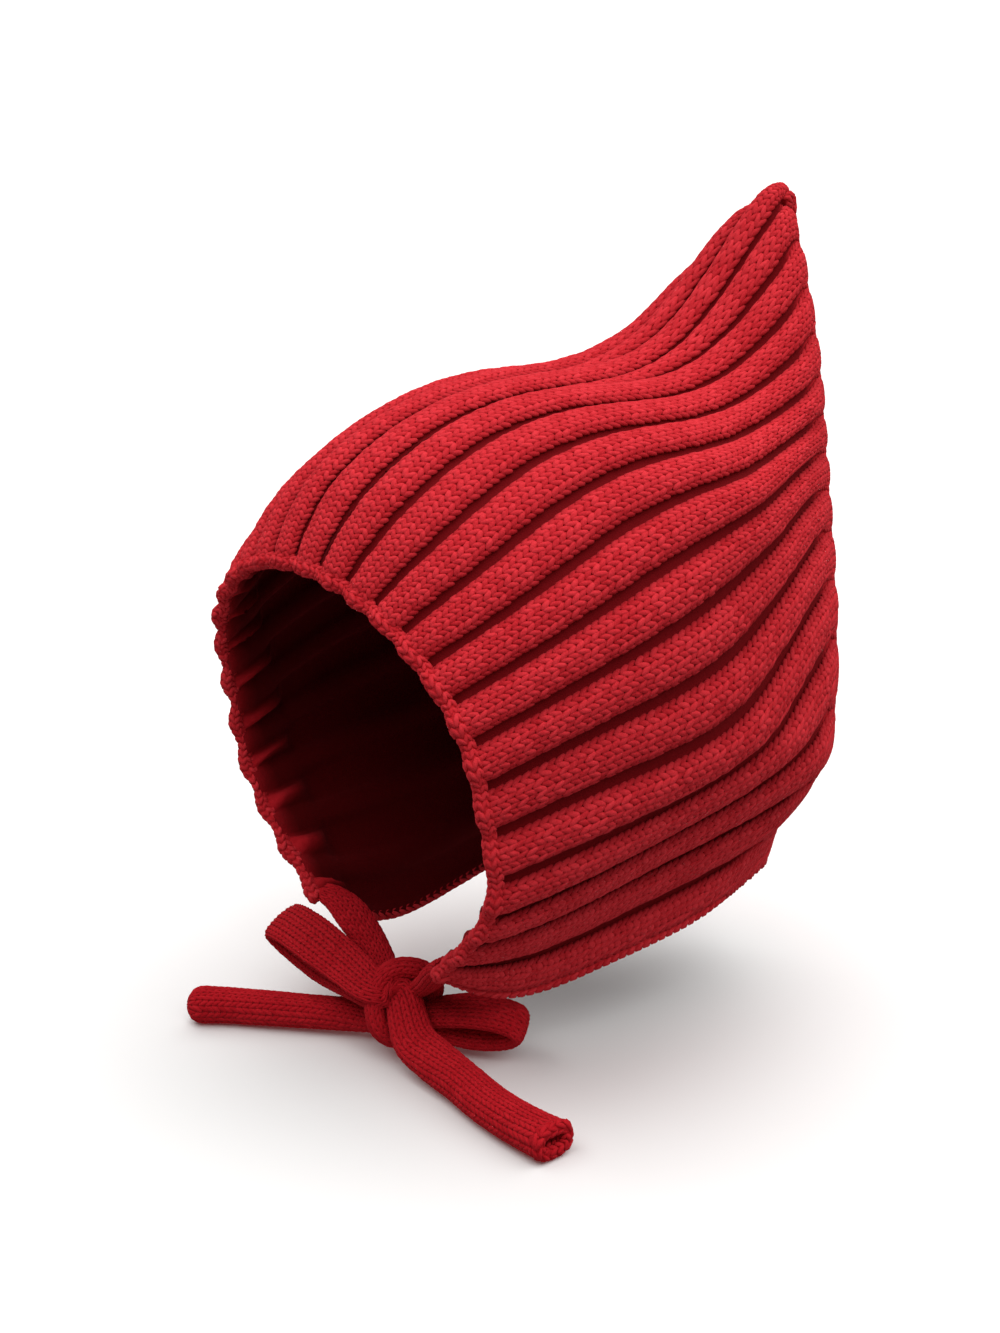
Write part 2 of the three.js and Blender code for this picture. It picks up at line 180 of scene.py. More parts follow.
class Tube:
    """A flattened round section along a route, kept as places and directions at even steps of length"""

    STEP = 0.0005
    CORNER = 2.4
    SPLITS = 24
    AROUND = 361

    def __init__(self, rows, closed=False):
        table = np.array([[r.x, r.y, r.z, r.wide, r.thick, *r.face] for r in rows])
        if closed:
            table = np.vstack([table[-2], table, table[1]])
        else:
            table = np.vstack([2 * table[0] - table[1], table, 2 * table[-1] - table[-2]])
        t = np.linspace(0, 1, self.SPLITS, endpoint=False)[:, None]
        parts = []
        for a, b, c, d in zip(table, table[1:], table[2:], table[3:]):
            bend = (2 * a - 5 * b + 4 * c - d) * t**2 + (3 * b - a - 3 * c + d) * t**3
            parts.append(b + (c - a) * t / 2 + bend / 2)
        fine = np.vstack([*parts, table[-2][None]])
        run = np.concatenate([[0], np.cumsum(np.linalg.norm(np.diff(fine[:, :3], axis=0), axis=1))])
        self.length = run[-1]
        self.at = np.linspace(0, self.length, int(self.length / self.STEP) + 1)
        even = np.stack([np.interp(self.at, run, column) for column in fine.T], 1)
        self.place = even[:, :3]
        self.wide, self.thick = even[:, 3], even[:, 4]
        self.along = unit(np.gradient(self.place, axis=0))
        facing = even[:, 5:]
        self.face = unit(facing - (facing * self.along).sum(1, keepdims=True) * self.along)
        self.across = np.cross(self.along, self.face)
        angle = np.linspace(0, 2 * math.pi, self.AROUND)
        shape = self.outline(angle, self.wide.mean(), self.thick.mean())[0]
        round_it = np.concatenate([[0], np.cumsum(np.linalg.norm(np.diff(shape, axis=0), axis=1))])
        self.girth = round_it[-1]
        self.angles = (round_it / self.girth, angle)

    def outline(self, angle, wide, thick):
        """Place and outward direction on the section at an angle"""
        power = 2 / self.CORNER
        c, s = np.cos(angle), np.sin(angle)
        place = np.stack([signed_power(c, power) * wide / 2, signed_power(s, power) * thick / 2], -1)
        out = np.stack([signed_power(c, 2 - power) / wide, signed_power(s, 2 - power) / thick], -1)
        return place, unit(out)

    def lay(self, length, around, height=0.0, scale=1.0):
        """Places at a length along, a share of the way around and a height above the surface"""
        inside = np.clip(length, 0, self.length)
        pick = lambda values: np.stack([np.interp(inside, self.at, v) for v in values.T], -1)
        wide = np.interp(inside, self.at, self.wide)
        thick = np.interp(inside, self.at, self.thick)
        angle = np.interp(np.mod(around, 1), *self.angles)
        section, out = self.outline(angle, wide, thick)
        section = section * np.asarray(scale)[..., None] + out * np.asarray(height)[..., None]
        middle = pick(self.place) + pick(self.along) * (length - inside)[..., None]
        return middle + pick(self.across) * section[..., :1] + pick(self.face) * section[..., 1:]


# Mesh helpers

def rest():
    """Leaves nothing selected, in object mode"""
    if bpy.context.object and bpy.context.object.mode != "OBJECT":
        bpy.ops.object.mode_set(mode="OBJECT")
    bpy.ops.object.select_all(action="DESELECT")


def coordinates(piece):
    flat = np.empty(len(piece.data.vertices) * 3, np.float32)
    piece.data.vertices.foreach_get("co", flat)
    return flat.reshape(-1, 3).astype(float)


def move_vertices(piece, places):
    piece.data.vertices.foreach_set("co", np.asarray(places, np.float32).ravel())
    piece.data.update()


def paint(piece, name, values):
    attribute = piece.data.attributes.get(name) or piece.data.attributes.new(name, "FLOAT", "POINT")
    attribute.data.foreach_set("value", np.asarray(values, np.float32))


def painted(piece, name):
    values = np.empty(len(piece.data.vertices), np.float32)
    piece.data.attributes[name].data.foreach_get("value", values)
    return values.astype(float)


def normals(piece):
    flat = np.empty(len(piece.data.vertices) * 3, np.float32)
    piece.data.vertices.foreach_get("normal", flat)
    return flat.reshape(-1, 3).astype(float)


def apply_modifier(piece, kind, **settings):
    modifier = piece.modifiers.new(kind.lower(), kind)
    for name, value in settings.items():
        setattr(modifier, name, value)
    bpy.context.view_layer.objects.active = piece
    bpy.ops.object.modifier_apply(modifier=modifier.name)


def in_edit_mode(piece, *steps, select=None):
    """Runs edit mode steps on the whole mesh, or on the vertices that select marks"""
    rest()
    piece.select_set(True)
    bpy.context.view_layer.objects.active = piece
    bpy.ops.object.mode_set(mode="EDIT")
    bpy.ops.mesh.select_all(action="SELECT" if select is None else "DESELECT")
    if select is not None:
        bpy.ops.mesh.select_mode(type="VERT")
        bpy.ops.object.mode_set(mode="OBJECT")
        piece.data.vertices.foreach_set("select", np.asarray(select, bool))
        bpy.ops.object.mode_set(mode="EDIT")
    for step in steps:
        step()
    bpy.ops.object.mode_set(mode="OBJECT")


def finish_piece(piece, name, material):
    """Names a piece, smooths it, gives it its finish and lets it ride with the part"""
    rest()
    piece.name = name
    piece.data.name = name
    piece.select_set(True)
    bpy.context.view_layer.objects.active = piece
    bpy.ops.object.shade_smooth()
    piece.data.materials.clear()
    piece.data.materials.append(material)
    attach(piece, "root")
    return piece


def flat_grid(across, along):
    """A grid mesh with the column and row number of each vertex"""
    rest()
    bpy.ops.mesh.primitive_grid_add(x_subdivisions=across, y_subdivisions=along, size=1)
    grid = bpy.context.object
    flat = coordinates(grid)
    column = np.rint((flat[:, 0] + 0.5) * across).astype(int)
    row = np.rint((flat[:, 1] + 0.5) * along).astype(int)
    return grid, column, row


def weld(piece, reach=0.00005):
    in_edit_mode(piece, lambda: bpy.ops.mesh.remove_doubles(threshold=reach),
                 lambda: bpy.ops.mesh.dissolve_degenerate(threshold=reach / 5))


def face_outwards(piece):
    in_edit_mode(piece, lambda: bpy.ops.mesh.normals_make_consistent(inside=False))


Swatch = namedtuple("Swatch", "piece column row across along height stitch_number")


def knit(columns, rows, stitch):
    """A flat swatch of V stitches: one leg of yarn, mirrored, then repeated in rows and columns"""
    rest()
    bpy.ops.mesh.primitive_uv_sphere_add(
        segments=stitch.sides, ring_count=stitch.rings, radius=1,
        scale=(stitch.half_width, stitch.half_height, stitch.half_length),
        rotation=(-math.pi / 2, 0, -stitch.lean), location=(stitch.across / 4, 0, 0))
    piece = bpy.context.object
    bpy.ops.object.transform_apply(location=True, rotation=True, scale=True)
    apply_modifier(piece, "MIRROR", use_mirror_merge=False)
    size = len(piece.data.vertices)
    for count, step in ((rows, (0, stitch.along, 0)), (columns, (stitch.across, 0, 0))):
        apply_modifier(piece, "ARRAY", count=count, use_relative_offset=False, use_constant_offset=True,
                       constant_offset_displace=step)
    flat = coordinates(piece)
    number = np.arange(len(flat)) // size
    row, column = number % rows, number // rows
    return Swatch(piece, column, row, flat[:, 0] - column * stitch.across,
                  flat[:, 1] / stitch.along + 0.5, flat[:, 2], number)


def uneven(swatch, amount):
    """A random value for each stitch, the same on all its vertices"""
    chance = np.random.default_rng(SEED + len(swatch.row))
    return chance.uniform(-amount, amount, swatch.stitch_number.max() + 1)[swatch.stitch_number]


# Hood: the same sections as the CAD solid, from the face (0) to the back seam (1). Each goes from a point of
# the top line down to a point of the neck edge, and swells to the crown's and the side's half widths
Section = namedtuple("Section", "at top_y top_z neck_x neck_y neck_z crown_w side_w side_at bulge crown_at"
                     " spread lift tuck")
SECTIONS = [
    Section(0.00, -0.062, 0.036, 0.031, -0.043, -0.070, 0.063, 0.065, 0.62, 0.002, 0.39, -0.07, 0.04, 1),
    Section(0.18, -0.048, 0.057, 0.034, -0.020, -0.080, 0.069, 0.074, 0.54, 0.018, 0.37, -0.16, 0.05, 0.3),
    Section(0.38, -0.016, 0.074, 0.038, 0.011, -0.076, 0.068, 0.076, 0.53, 0.023, 0.30, -0.11, 0.05, 0),
    Section(0.56, 0.019, 0.078, 0.039, 0.043, -0.070, 0.065, 0.065, 0.63, 0.022, 0.20, -0.27, 0.08, 0),
    Section(0.72, 0.057, 0.087, 0.031, 0.067, -0.067, 0.046, 0.051, 0.70, 0.015, 0.19, -0.30, 0.14, 0),
    Section(0.87, 0.088, 0.120, 0.018, 0.084, -0.069, 0.023, 0.028, 0.69, 0.005, 0.25, -0.14, 0.07, 0),
    Section(1.00, 0.100, 0.121, 0.0, 0.092, -0.070, 0.0, 0.0, 0.66, 0.003, 0.20, -0.04, 0.01, 0),
]
# Ribs a side, the shape across one of them, and the stitches that cover it
WHOLE_RIBS = 12
HEM_RIB = 0.7
LAST_RIB = WHOLE_RIBS + 2
RIB_HALF = 0.0061
RIB_DEPTH = 0.0028
RIB_SQUARENESS = 2.1
PROFILE_POINTS = 401
CREST_SHARE = 0.78
ROWS = 84
COLUMNS_A_RIB = 4
FACE_EDGE = 0.0107
STITCHES_FROM = 0.015
RIM_DIP = 0.0012
RIM_REACH = 0.035
WALL = 0.0044
BORN_FROM = 0.45
BORN_OVER = 0.35


def born(u):
    """How far the pair of ribs beside the middle one has grown: they begin behind the crown"""
    return smooth((u - BORN_FROM) / BORN_OVER)


def rib_count(u):
    return HEM_RIB + WHOLE_RIBS + 0.5 + born(u)


def natural_spline(knots, values, at):
    gap = np.diff(knots)
    slope = np.diff(values) / gap
    system = np.eye(len(knots))
    right = np.zeros(len(knots))
    for i in range(1, len(knots) - 1):
        system[i, i - 1:i + 2] = gap[i - 1], 2 * (gap[i - 1] + gap[i]), gap[i]
        right[i] = 6 * (slope[i] - slope[i - 1])
    bend = np.linalg.solve(system, right)
    i = np.clip(np.searchsorted(knots, at) - 1, 0, len(knots) - 2)
    before, after = at - knots[i], knots[i + 1] - at
    return ((bend[i] * after**3 + bend[i + 1] * before**3) / (6 * gap[i])
            + (values[i] / gap[i] - bend[i] * gap[i] / 6) * after
            + (values[i + 1] / gap[i] - bend[i + 1] * gap[i] / 6) * before)


class Skin:
    """The smooth surface over the rib crests, on a fine grid of u (face to seam) and share (neck to top)"""

    U = np.linspace(-0.02, 1, 256)
    SHARE = np.linspace(-0.05, 1, 300)
    POINTS = 121
    CROWDED_AT_TOP = 1.6
    RUNS_ON = 0.03

    def __init__(self):
        knots = np.array([row.at for row in SECTIONS])
        columns = {name: natural_spline(knots, np.array([getattr(row, name) for row in SECTIONS]), self.U)
                   for name in Section._fields[1:]}
        self.places = np.array([self.section(Section(u, *(columns[name][i] for name in Section._fields[1:])))
                                for i, u in enumerate(self.U)])
        back = np.gradient(self.places, axis=0)
        up = np.gradient(self.places, axis=1)
        normals = np.cross(back, up)
        normals[:, -1, 0] = 0
        self.normals = unit(normals)

    def section(self, row):
        a = np.linspace(0, 1, self.POINTS) ** self.CROWDED_AT_TOP
        dy, dz = row.neck_y - row.top_y, row.neck_z - row.top_z
        chord = math.hypot(dy, dz)
        bow = row.bulge * 4 * a * (1 - a)
        crown = np.sqrt(np.maximum(1 - (1 - np.clip(a / row.crown_at, 0, 1))**2, 0))
        low = np.clip((a - row.side_at) / (1 - row.side_at), 0, 1)
        inward = smooth(low) + row.tuck * (1 - np.cos(low * math.pi / 2) - smooth(low))
        x = (row.crown_w * crown + (row.side_w - row.crown_w) * smooth(a / row.side_at)
             + (row.neck_x - row.side_w) * inward)
        line = np.stack([x, row.top_y + dy * a - dz / chord * bow, row.top_z + dz * a + dy / chord * bow], 1)
        line = np.vstack([line, line[-1] + unit(line[-1] - line[-3]) * self.RUNS_ON])
        run = np.concatenate([[0], np.cumsum(np.linalg.norm(np.diff(line, axis=0), axis=1))])
        total = run[-2]
        packed = row.spread * np.sin(2 * math.pi * self.SHARE) / (2 * math.pi)
        down = total * (1 - self.SHARE + packed - row.lift * np.sin(math.pi * self.SHARE))
        return np.stack([np.interp(down, run, column) for column in line.T], 1)

    def at(self, u, across):
        """Place and outward direction, across counted in ribs from the top line, + on the wearer's left"""
        share = 1 - np.abs(across) / rib_count(u)
        i = (u - self.U[0]) / (self.U[1] - self.U[0])
        j = (share - self.SHARE[0]) / (self.SHARE[1] - self.SHARE[0])
        i0 = np.clip(np.floor(i).astype(int), 0, len(self.U) - 2)
        j0 = np.clip(np.floor(j).astype(int), 0, len(self.SHARE) - 2)
        s, t = (i - i0)[..., None], (j - j0)[..., None]
        mirror = np.where(across < 0, -1.0, 1.0)[..., None] ** np.array([1, 0, 0])
        found = []
        for table in (self.places, self.normals):
            mixed = ((table[i0, j0] * (1 - t) + table[i0, j0 + 1] * t) * (1 - s)
                     + (table[i0 + 1, j0] * (1 - t) + table[i0 + 1, j0 + 1] * t) * s)
            found.append(mixed * mirror)
        return found[0], unit(found[1])


skin = Skin()


def rib_profile():
    """Across one rib, by share of its arc from -1 to 1: side, depth and the outward direction's two parts"""
    angle = np.linspace(-math.pi / 2, math.pi / 2, PROFILE_POINTS)
    power = 2 / RIB_SQUARENESS
    bar = signed_power(np.sin(angle), power)
    side = np.concatenate([[-1], bar * CREST_SHARE, [1]])
    depth = np.concatenate([[RIB_DEPTH], RIB_DEPTH * (1 - np.abs(np.cos(angle))**power), [RIB_DEPTH]])
    run = np.concatenate([[0], np.cumsum(np.hypot(np.diff(side) * RIB_HALF, np.diff(depth)))])
    out_side, out_up = np.gradient(depth), np.gradient(side) * RIB_HALF
    size = np.hypot(out_side, out_up)
    return 2 * run / run[-1] - 1, run[-1] / 2, side, depth, out_side / size, out_up / size


PROFILE_ARC, HALF_ARC, *PROFILE = rib_profile()


def rib_borders(rib, u):
    """Middle and half width of a rib, in ribs from the top line: 0 is the middle rib, 1 the one born behind
    the crown, and the others follow down to the narrow last one, the hem"""
    number = abs(rib)
    side = np.sign(rib)
    if number == 0:
        return np.zeros_like(u), np.full_like(u, 0.5)
    if number == 1:
        return side * (0.5 + born(u) / 2), born(u) / 2
    if number == LAST_RIB:
        return side * (born(u) + WHOLE_RIBS + 0.5 + HEM_RIB / 2), np.full_like(u, HEM_RIB / 2)
    return side * (born(u) + number - 1), np.full_like(u, 0.5)


# The ribs flatten towards the back, the lower ones sooner, until only shallow lines are left at the seam
SEAM_FLAT = 0.78
FLAT_FROM = 0.845
FLAT_SOONER = 0.021
FLAT_TOP_LATER = 0.08
FLAT_TOP_WIDE = 0.9
FLAT_OVER = 0.09
FLAT_LEVEL = 0.3
NEW_RIB_LEVEL = 0.7
NEW_RIB_SHOWS = 0.1
PIT_DEPTH = 0.0042
PIT_ACROSS = 0.58
PIT_WIDE = 0.27
PIT_AT = 0.95
PIT_LONG = 0.028
TIP_FROM = 0.95
TIP_DROP = 0.0042
TIP_WIDE = 0.6


def flatness(u, across):
    later = FLAT_TOP_LATER * np.exp(-(across / FLAT_TOP_WIDE)**2)
    return SEAM_FLAT * smooth((u - FLAT_FROM + FLAT_SOONER * np.abs(across) - later) / FLAT_OVER)


def peak_pit(u, across):
    """The hollow beside the middle rib, just below the tip of the peak, from 0 to 1"""
    return np.exp(-((np.abs(across) - PIT_ACROSS) / PIT_WIDE)**2 - ((u - PIT_AT) / PIT_LONG)**2)


def tip_drop(u, across):
    """How the end of the middle rib rounds off at the tip of the peak"""
    past = np.clip((u - TIP_FROM) / (1 - TIP_FROM), 0, 1)
    return TIP_DROP * (1 - np.sqrt(1 - past**2)) * np.exp(-(across / TIP_WIDE)**2)


def on_rib(rib, u, round_it, height):
    """Places on a rib, round_it from -1 to 1 around its profile"""
    middle, half = rib_borders(rib, u)
    side, depth, out_side, out_up = (np.interp(round_it, PROFILE_ARC, column) for column in PROFILE)
    flat = flatness(u, middle + half * side)
    side = side * (1 - flat) + round_it * flat
    across = middle + half * (side + out_side * (1 - flat) * height / RIB_HALF)
    risen = smooth(half * 2)
    place, outward = skin.at(u, across)
    new_rib = 1 - (1 - NEW_RIB_LEVEL) * smooth(half / NEW_RIB_SHOWS)
    sunk = depth * risen + RIB_DEPTH * new_rib * (1 - risen)
    sunk = sunk * (1 - flat) + RIB_DEPTH * FLAT_LEVEL * flat
    sunk = sunk + RIM_DIP * (1 - smooth(u / RIM_REACH))
    sunk = sunk + tip_drop(u, across) + PIT_DEPTH * peak_pit(u, across)
    place = place + outward * ((out_up * (1 - flat) + flat) * height - sunk)[..., None]
    keeps_side = np.where(across < 0, -1.0, 1.0)
    place[..., 0] = np.maximum(place[..., 0] * keeps_side, 0) * keeps_side
    return place


# Cloth: its steps across a rib, its thickness, the strip inside the face edge where the ribs' backs show,
# and the shade painted inside the hood and in the grooves
RIB_ORDER = range(-LAST_RIB, LAST_RIB + 1)
CLOTH_STEPS = (-1, -0.9, -0.78, -0.62, -0.35, 0, 0.35, 0.62, 0.78, 0.9)
CLOTH_ROWS = 80
CLOTH_THICK = 0.0016
CLOTH_SINK = 0.0002
TURNED_IN = 0.07
TURNED_FADE = 0.03
TURNED_THICK = 0.0008
TURNED_RELIEF = 0.0044
CREST_FROM = 0.1
CREST_OVER = 0.8
INNER_SHADE = 0.1
INNER_GROOVE_SHADE = 0.6
INNER_DEEP_SHADE = 0.9
CLOTH_GROOVE_SHADE = 0.85
CLOTH_GROOVE_FROM = 0.4
CLOTH_GROOVE_OVER = 0.35


def make_hood_cloth():
    """The ribbed cloth under the stitches: a flat grid laid over the head, then given its thickness and
    painted shade
    """
    steps = len(CLOTH_STEPS)
    cloth, column, row = flat_grid(steps * len(RIB_ORDER), CLOTH_ROWS)
    u = FACE_EDGE / 2 + (1 - FACE_EDGE / 2) * row / CLOTH_ROWS
    places = np.empty((len(column), 3))
    groove = np.empty(len(column))
    for number, rib in enumerate(RIB_ORDER):
        last = number == len(RIB_ORDER) - 1
        mine = (column // steps == number) | (last & (column == steps * len(RIB_ORDER)))
        turn = np.where(column[mine] == steps * len(RIB_ORDER), 1.0,
                        np.array(CLOTH_STEPS)[column[mine] % steps])
        places[mine] = on_rib(rib, u[mine], turn, -CLOTH_SINK)
        middle, half = rib_borders(rib, u[mine])
        shown = smooth(half / NEW_RIB_SHOWS)
        groove[mine] = (1 - (1 - np.abs(turn)) * shown) * (1 - flatness(u[mine], middle))
    move_vertices(cloth, places)
    paint(cloth, "along", u)
    paint(cloth, "groove", groove)
    weld(cloth)
    outside = len(cloth.data.vertices)
    apply_modifier(cloth, "SOLIDIFY", thickness=CLOTH_THICK, offset=-1, use_rim=True)
    inside = np.arange(len(cloth.data.vertices)) >= outside
    along, groove = painted(cloth, "along"), painted(cloth, "groove")
    turned = inside * (1 - smooth((along - TURNED_IN) / TURNED_FADE)) * smooth(along / TURNED_FADE)
    crest = 1 - smooth((groove - CREST_FROM) / CREST_OVER)
    inwards = turned * (TURNED_THICK + TURNED_RELIEF * crest)
    places = coordinates(cloth) + normals(cloth) * inwards[:, None]
    own_side = np.sign(np.tile(places[:outside, 0], 2))
    places[:, 0] = np.maximum(places[:, 0] * own_side, 0) * own_side
    move_vertices(cloth, places)
    # Painted shade in the depth attribute: inside, lightest on the crests near the face edge and darkest
    # deep in the hood; outside, darker in the grooves
    deep = smooth(along / (TURNED_IN + TURNED_FADE))
    inner_shade = np.minimum(INNER_SHADE + INNER_GROOVE_SHADE * (1 - crest) + INNER_DEEP_SHADE * deep, 1)
    outer_shade = CLOTH_GROOVE_SHADE * smooth((groove - CLOTH_GROOVE_FROM) / CLOTH_GROOVE_OVER)
    paint(cloth, "depth", np.where(inside, inner_shade, outer_shade))
    return cloth


# Rib stitches: how uneven they lie, and the shade painted on them towards the grooves, most on the low ribs,
# which face away from the light above
RIB_UNEVEN_SIDE = 0.00016
RIB_UNEVEN_UP = 0.00012
GROOVE_SHADE = 0.30
GROOVE_SHADE_LOW = 0.95
GROOVE_FROM = 0.36
GROOVE_OVER = 0.5
PIT_SHADE = 0.95
SPREAD_WHEN_FLAT = 0.4


def lay_rib_stitches(swatch, ribs):
    """Lays a swatch over neighbouring ribs, with fewer columns where a rib is narrow"""
    rib = np.array(ribs)[swatch.column // COLUMNS_A_RIB]
    rows_at = np.linspace(STITCHES_FROM, 1, ROWS)
    halves = np.array([rib_borders(one, rows_at)[1] for one in ribs])
    fits = np.rint(2 * COLUMNS_A_RIB * halves[swatch.column // COLUMNS_A_RIB, swatch.row])
    number = swatch.column % COLUMNS_A_RIB
    column = number - (fits - 1) / 2
    widened = COLUMNS_A_RIB / np.maximum(fits, 1)
    side = column * RIB_STITCH.across + swatch.across + uneven(swatch, RIB_UNEVEN_SIDE)
    turn = side / HALF_ARC * widened
    u = STITCHES_FROM + (1 - STITCHES_FROM) * np.clip(swatch.along / ROWS, 0, 1)
    height = swatch.height + uneven(swatch, RIB_UNEVEN_UP)
    places = np.empty((len(rib), 3))
    # Painted shade in the depth attribute: darker towards the grooves, more on the lower ribs, and in the
    # hollow below the peak's tip
    shade = GROOVE_SHADE + (GROOVE_SHADE_LOW - GROOVE_SHADE) * np.abs(rib) / LAST_RIB
    depth = shade * smooth((np.abs(turn) - GROOVE_FROM) / GROOVE_OVER)
    for one in ribs:
        mine = rib == one
        middle, half = rib_borders(one, u[mine])
        flat = flatness(u[mine], middle)
        turn[mine] *= 1 + SPREAD_WHEN_FLAT * flat / SEAM_FLAT
        places[mine] = on_rib(one, u[mine], turn[mine], height[mine])
        pit = PIT_SHADE * peak_pit(u[mine], middle + half * turn[mine])
        depth[mine] = np.maximum(depth[mine] * (1 - flat), pit)
    move_vertices(swatch.piece, places)
    paint(swatch.piece, "tone", 0.5 + uneven(swatch, 0.5))
    paint(swatch.piece, "depth", depth)
    spare = number >= fits
    if spare.any():
        in_edit_mode(swatch.piece, lambda: bpy.ops.mesh.delete(type="VERT"), select=spare)
    return swatch.piece


# Stitches round tubes: how far a rounded tip draws them together, how uneven they lie and how deep they sit
COVER_CLOSES = 0.98
COVER_ROUGH = 0.00006
COVER_ROUGH_UP = 0.7
CHAIN_ROUGH = 0.0003
CHAIN_SINK = 0.0002
SEAM_STITCH_SINK = 0.0003


def rounded(tube, length, tip):
    """How much of a tube's section is left at a length, where its far end is rounded off over a tip"""
    past = np.clip((length - tube.length + tip) / tip, 0, 1)
    return np.sqrt(1 - COVER_CLOSES * past**2)


def tube_cover(tube, columns, stitch, start=0.0, end=None, sink=0.0, tip=0.0, rough=COVER_ROUGH):
    """V stitches all round a tube, between two lengths of it, drawn together over a rounded tip"""
    end = tube.length if end is None else end
    rows = int((end - start) / stitch.along)
    swatch = knit(columns, rows, stitch)
    length = start + (end - start) * swatch.along / rows
    around = (swatch.column + 0.5) / columns + (swatch.across + uneven(swatch, rough)) / tube.girth
    height = swatch.height - sink + uneven(swatch, rough * COVER_ROUGH_UP)
    scale = rounded(tube, length, tip) if tip else 1.0
    move_vertices(swatch.piece, tube.lay(length, around, height, scale))
    paint(swatch.piece, "tone", 0.5 + uneven(swatch, 0.5))
    return swatch.piece


def tube_body(tube, rings, around=24, sink=0.0002):
    """A closed tube through rings, each given as its length along and the scale of its section"""
    body, column, row = flat_grid(around, len(rings) - 1)
    length, scale = np.array(rings).T
    move_vertices(body, tube.lay(length[row], column / around, -sink * scale[row], scale[row]))
    weld(body)
    face_outwards(body)
    return body


# The open end of a tie: distances back from its end and the scale of its section there, out, over the edge
# and down into the hollow
OPEN_END = [(0.001, 1.0), (0.0, 0.9), (0.0004, 0.62), (0.0015, 0.5), (0.0036, 0.42), (0.006, 0.0)]
TIP_RINGS = 6


def even_rings(tube, step=0.003, tip=0.004, open_end=False):
    """Rings along a tube with rounded ends, or with a hollow in its far end"""
    round_off = [(math.sin(a), math.cos(a)) for a in np.linspace(0, math.pi / 2, TIP_RINGS)]
    first = [(tip * (1 - s), c) for s, c in reversed(round_off)]
    middle_end = tube.length - (OPEN_END[0][0] if open_end else tip)
    middle = [(at, 1.0) for at in np.linspace(tip, middle_end, int((middle_end - tip) / step) + 1)[1:-1]]
    if open_end:
        last = [(tube.length - back, scale) for back, scale in OPEN_END]
    else:
        last = [(tube.length - tip * (1 - s), c) for s, c in round_off]
    return first + middle + last


def ring_lengths(tube, count):
    """Full rings at even lengths round a tube that closes on itself"""
    return [(at, 1.0) for at in np.linspace(0, tube.length, count)]


# Materials

def feed(tree, socket, value):
    if isinstance(value, Shade):
        tree.links.new(value.socket, socket)
    else:
        socket.default_value = value


class Shade:
    """A shader socket that Python's operators work on: an expression adds its Math nodes"""

    def __init__(self, tree, socket):
        self.tree = tree
        self.socket = socket

    def maths(self, operation, *inputs):
        node = self.tree.nodes.new("ShaderNodeMath")
        node.operation = operation
        for socket, value in zip(node.inputs, inputs):
            feed(self.tree, socket, value)
        return Shade(self.tree, node.outputs[0])

    def __add__(self, other):
        return self.maths("ADD", self, other)

    __radd__ = __add__

    def __sub__(self, other):
        return self.maths("SUBTRACT", self, other)

    def __rsub__(self, other):
        return self.maths("SUBTRACT", other, self)

    def __mul__(self, other):
        return self.maths("MULTIPLY", self, other)

    __rmul__ = __mul__


class Finish:
    """A material whose nodes all come from one method"""

    def __init__(self, name):
        self.material = bpy.data.materials.new(name)
        self.material.use_nodes = True
        self.tree = self.material.node_tree
        self.tree.nodes.clear()

    def node(self, kind, output=0, settings=None, **sockets):
        made = self.tree.nodes.new(kind)
        for name, value in (settings or {}).items():
            setattr(made, name, value)
        for name, value in sockets.items():
            feed(self.tree, made.inputs[name.replace("_", " ")], value)
        return Shade(self.tree, made.outputs[output])

    def mix(self, share, low, high):
        made = self.tree.nodes.new("ShaderNodeMix")
        made.data_type = "RGBA"
        for socket, value in zip((made.inputs[0], made.inputs[6], made.inputs[7]), (share, low, high)):
            feed(self.tree, socket, value)
        return Shade(self.tree, made.outputs[2])

    def surface(self, shader):
        out = self.tree.nodes.new("ShaderNodeOutputMaterial")
        feed(self.tree, out.inputs["Surface"], shader)
        return self.material


def colour(red, green, blue):
    """A colour given as it looks on a screen, 0 to 255"""
    shares = np.array([red, green, blue]) / 255
    linear = np.where(shares <= 0.04045, shares / 12.92, ((shares + 0.055) / 1.055)**2.4)
    return (*linear.tolist(), 1.0)


FIBRES_SHOW = 0.8
STRANDS_SHOW = 0.6
PATCHES_SHOW = 0.3
TONE_SHOWS = 0.3
MOTTLE_LOWERED = 0.5
STRANDS_RAISED = 0.6


